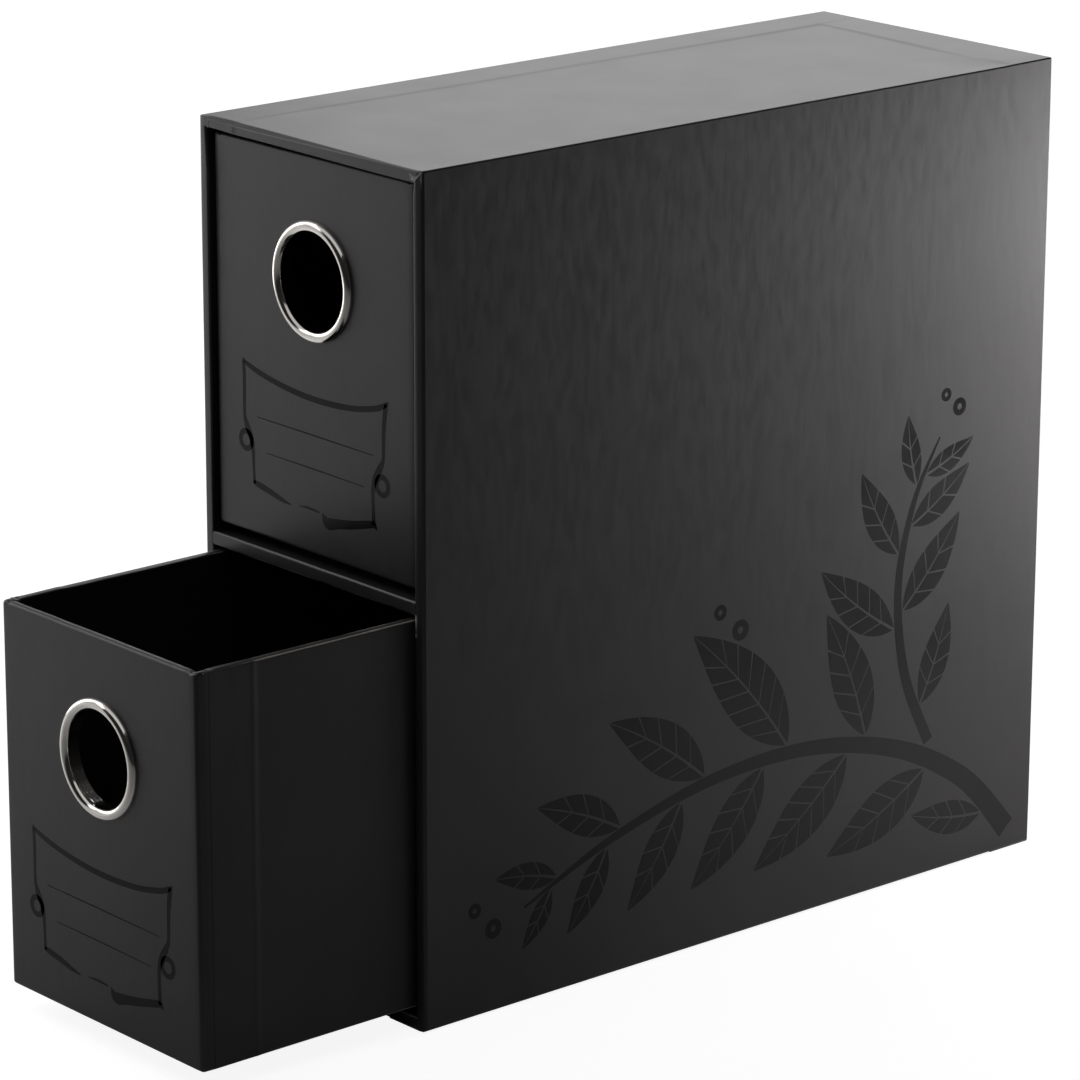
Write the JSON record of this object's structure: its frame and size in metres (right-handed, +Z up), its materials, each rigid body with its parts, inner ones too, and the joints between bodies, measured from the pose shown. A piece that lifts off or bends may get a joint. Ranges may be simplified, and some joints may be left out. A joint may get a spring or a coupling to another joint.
{
  "type": "card storage box with drawers",
  "caption": "Upright card storage box of paper-wrapped greyboard, with stacked pull-out drawers that have round metal finger eyelets.",
  "frame": {"origin": "centre of the case's base, on the surface that it stands on", "axes": "+Z up, the drawers open towards -Y, +X is the right side as seen from the front"},
  "size_m": [0.0848, 0.2788, 0.215],
  "materials": {
    "cover_paper": "satin",
    "drawer_paper": "satin",
    "lining_paper": "matte",
    "greyboard": "matte",
    "black_board": "matte",
    "eyelet_metal": "polished",
    "gloss_varnish": "gloss"
  },
  "bodies": {
    "case": {"case_left_board": "greyboard", "case_right_board": "greyboard", "case_top_board": "greyboard", "case_bottom_board": "greyboard", "case_back_board": "greyboard", "divider_board": "greyboard", "lower_bay_glide_board": "black_board", "upper_bay_glide_board": "black_board", "case_left_cover": "cover_paper", "case_main_cover": "cover_paper", "case_back_cover": "cover_paper", "case_base_sheet": "cover_paper", "divider_edge_wrap": "cover_paper", "floor_edge_wrap": "cover_paper", "lower_bay_lining": "lining_paper", "upper_bay_lining": "lining_paper"},
    "lower_drawer": {"lower_drawer_front_board": "greyboard", "lower_drawer_back_board": "greyboard", "lower_drawer_left_board": "greyboard", "lower_drawer_right_board": "greyboard", "lower_drawer_bottom_board": "greyboard", "lower_drawer_front_sheet": "drawer_paper", "lower_drawer_wrap": "drawer_paper", "lower_drawer_lining": "lining_paper", "lower_drawer_eyelet": "eyelet_metal", "lower_drawer_eyelet_back_ring": "eyelet_metal"},
    "upper_drawer": {"upper_drawer_front_board": "greyboard", "upper_drawer_back_board": "greyboard", "upper_drawer_left_board": "greyboard", "upper_drawer_right_board": "greyboard", "upper_drawer_bottom_board": "greyboard", "upper_drawer_front_sheet": "drawer_paper", "upper_drawer_wrap": "drawer_paper", "upper_drawer_lining": "lining_paper", "upper_drawer_eyelet": "eyelet_metal", "upper_drawer_eyelet_back_ring": "eyelet_metal"}
  },
  "joints": [
    {"name": "upper_drawer_slide", "type": "slide", "parent": "case", "child": "upper_drawer", "axis": [0, -1, 0], "range_m": [0, 0.196]},
    {"name": "lower_drawer_slide", "type": "slide", "parent": "case", "child": "lower_drawer", "axis": [0, -1, 0], "range_m": [-0.0664, 0.1296]}
  ]
}
